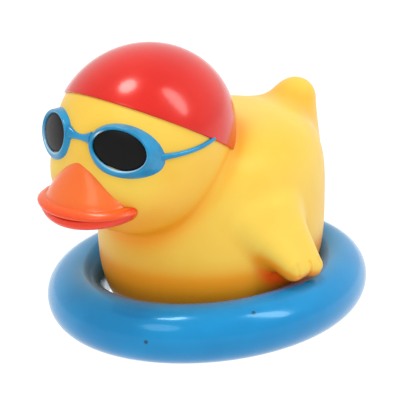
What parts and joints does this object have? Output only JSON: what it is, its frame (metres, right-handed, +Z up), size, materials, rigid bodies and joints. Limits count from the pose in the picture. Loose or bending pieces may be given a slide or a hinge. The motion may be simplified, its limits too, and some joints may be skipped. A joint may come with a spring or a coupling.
{
  "type": "rubber duck",
  "caption": "Bath toy: a cast vinyl duck with a bathing cap and swimming goggles, sitting in a loose oval swim ring.",
  "frame": {"origin": "on the surface the toy stands on, at the middle of the duck's flat base, which is also the middle of the ring", "axes": "+Z up, -Y the way the duck looks, +X its left side"},
  "size_m": [0.0932, 0.1233, 0.0931],
  "materials": {
    "yellow_vinyl": "soft vinyl, satin to glossy",
    "ring_blue": "glossy vinyl",
    "cap_red": "glossy paint on vinyl",
    "bill_orange": "satin paint on vinyl",
    "goggle_blue": "satin paint on vinyl",
    "lens_black": "glossy paint on vinyl"
  },
  "bodies": {
    "root": {"duck": "yellow_vinyl", "swim_ring": "ring_blue"}
  },
  "joints": []
}
